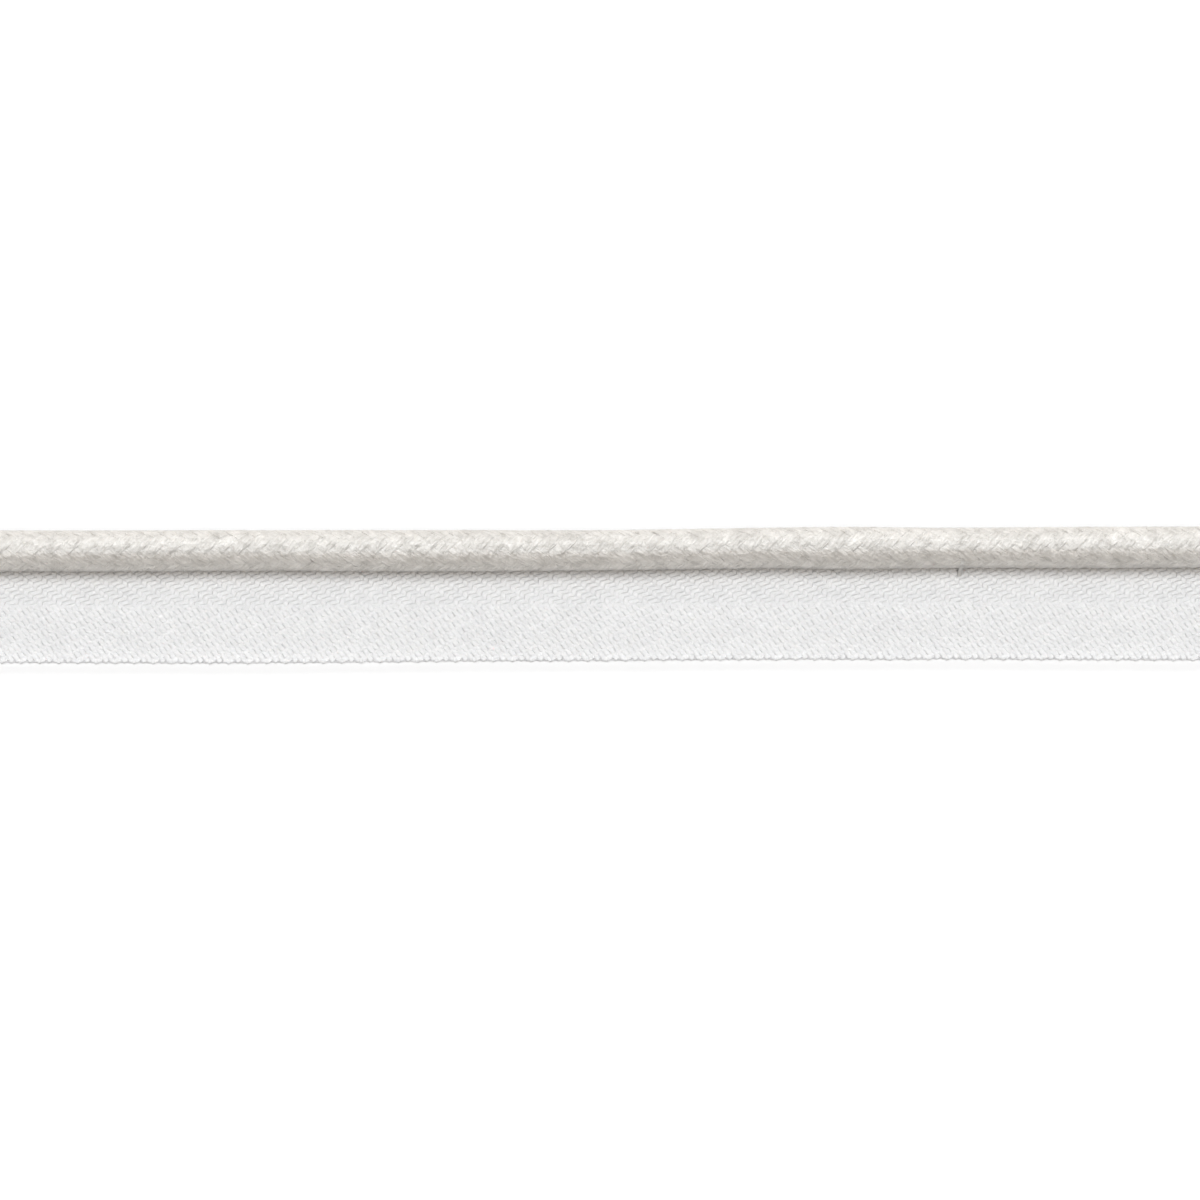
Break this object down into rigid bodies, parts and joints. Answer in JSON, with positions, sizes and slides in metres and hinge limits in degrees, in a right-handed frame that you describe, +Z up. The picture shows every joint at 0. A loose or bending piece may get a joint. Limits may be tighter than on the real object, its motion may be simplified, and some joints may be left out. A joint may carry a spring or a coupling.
{
  "type": "flanged piping cord trim, cut length",
  "caption": "Straight cut length of piping trim: a round braided cord sewn along one edge of a flat herringbone-woven lip that is caught in a seam.",
  "frame": {"origin": "on the underside of the lip, below the middle of the strip's overall box", "axes": "+X along the strip, +Y across it towards the cord, +Z up out of the face side"},
  "size_m": [0.2, 0.0206, 0.0074],
  "materials": {
    "cord_yarn": "lustrous off-white braided yarn, soft satin sheen",
    "lip_cotton": "matt white herringbone-woven tape"
  },
  "bodies": {
    "root": {"cord": "cord_yarn", "lip": "lip_cotton"}
  },
  "joints": []
}
